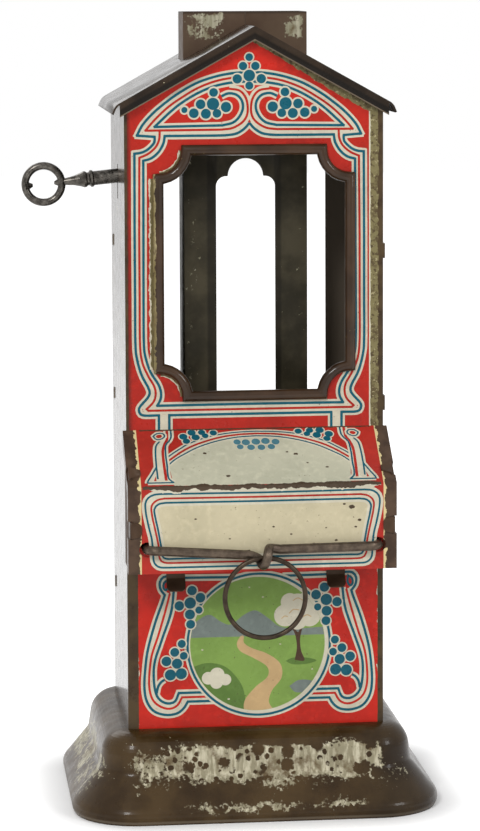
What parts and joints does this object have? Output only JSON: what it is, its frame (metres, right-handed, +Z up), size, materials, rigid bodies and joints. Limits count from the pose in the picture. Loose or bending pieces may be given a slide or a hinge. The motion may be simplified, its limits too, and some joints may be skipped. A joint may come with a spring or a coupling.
{
  "type": "toy chocolate dispenser",
  "caption": "Tinplate toy chocolate dispenser and money box: gabled tower with a window, tablet column, hooded outlet, pull ring, coin slot and locked rear door.",
  "frame": {"origin": "on the floor under the middle of the tower, on the underside of the base", "axes": "+X to the right seen from the front, +Y to the back, +Z up"},
  "size_m": [0.1278, 0.1044, 0.248],
  "materials": {
    "brown_lacquer": "worn gloss lacquer",
    "red_print": "printed gloss",
    "plain_tin": "dull tinplate",
    "steel_wire": "aged"
  },
  "bodies": {
    "cabinet": {"base_plinth": "brown_lacquer", "base_floor": "plain_tin", "front_panel": "red_print", "window_frame": "brown_lacquer", "left_wall": "brown_lacquer", "right_wall": "brown_lacquer", "rear_frame": "brown_lacquer", "roof": "brown_lacquer", "chocolate_column": "brown_lacquer", "stage_plate": "plain_tin", "chute_plate": "brown_lacquer", "hood_cover": "red_print", "hood_cheek_left": "brown_lacquer", "hood_cheek_right": "brown_lacquer", "coin_guide": "plain_tin", "lock_plate": "plain_tin", "lock_pin": "steel_wire", "wall_hinge_leaves": "plain_tin", "hinge_pins": "steel_wire"},
    "slider": {"pull_bail": "steel_wire", "pusher_slide": "plain_tin", "pull_rivets": "steel_wire"},
    "ring": {"pull_ring": "steel_wire"},
    "key": {"key": "steel_wire"},
    "bolt": {"lock_bolt": "plain_tin"},
    "door": {"rear_door": "brown_lacquer", "door_hinge_leaves": "plain_tin", "lock_keeper": "plain_tin"}
  },
  "joints": [
    {"name": "slider_pull", "type": "slide", "parent": "cabinet", "child": "slider", "axis": [0, -1, 0], "range_m": [0, 0.0154]},
    {"name": "ring_swing", "type": "hinge", "parent": "slider", "child": "ring", "pos_m": [0, -0.05395, 0.0839], "axis": [-1, 0, 0], "range_deg": [-25, 160]},
    {"name": "key_turn", "type": "hinge", "parent": "cabinet", "child": "key", "pos_m": [-0.04, 0, 0.1967], "axis": [0.9945, 0, 0.1045], "range_deg": [0, 180]},
    {"name": "bolt_lift", "type": "slide", "parent": "cabinet", "child": "bolt", "axis": [0, 0, 1], "range_m": [0, 0.006]},
    {"name": "door_swing", "type": "hinge", "parent": "cabinet", "child": "door", "pos_m": [0.0409, 0.0306, 0], "axis": [0, 0, -1], "range_deg": [0, 110]}
  ],
  "couplings": [
    {"joint": "key_turn", "follows": "bolt_lift", "rad_per_m": 523.59}
  ]
}
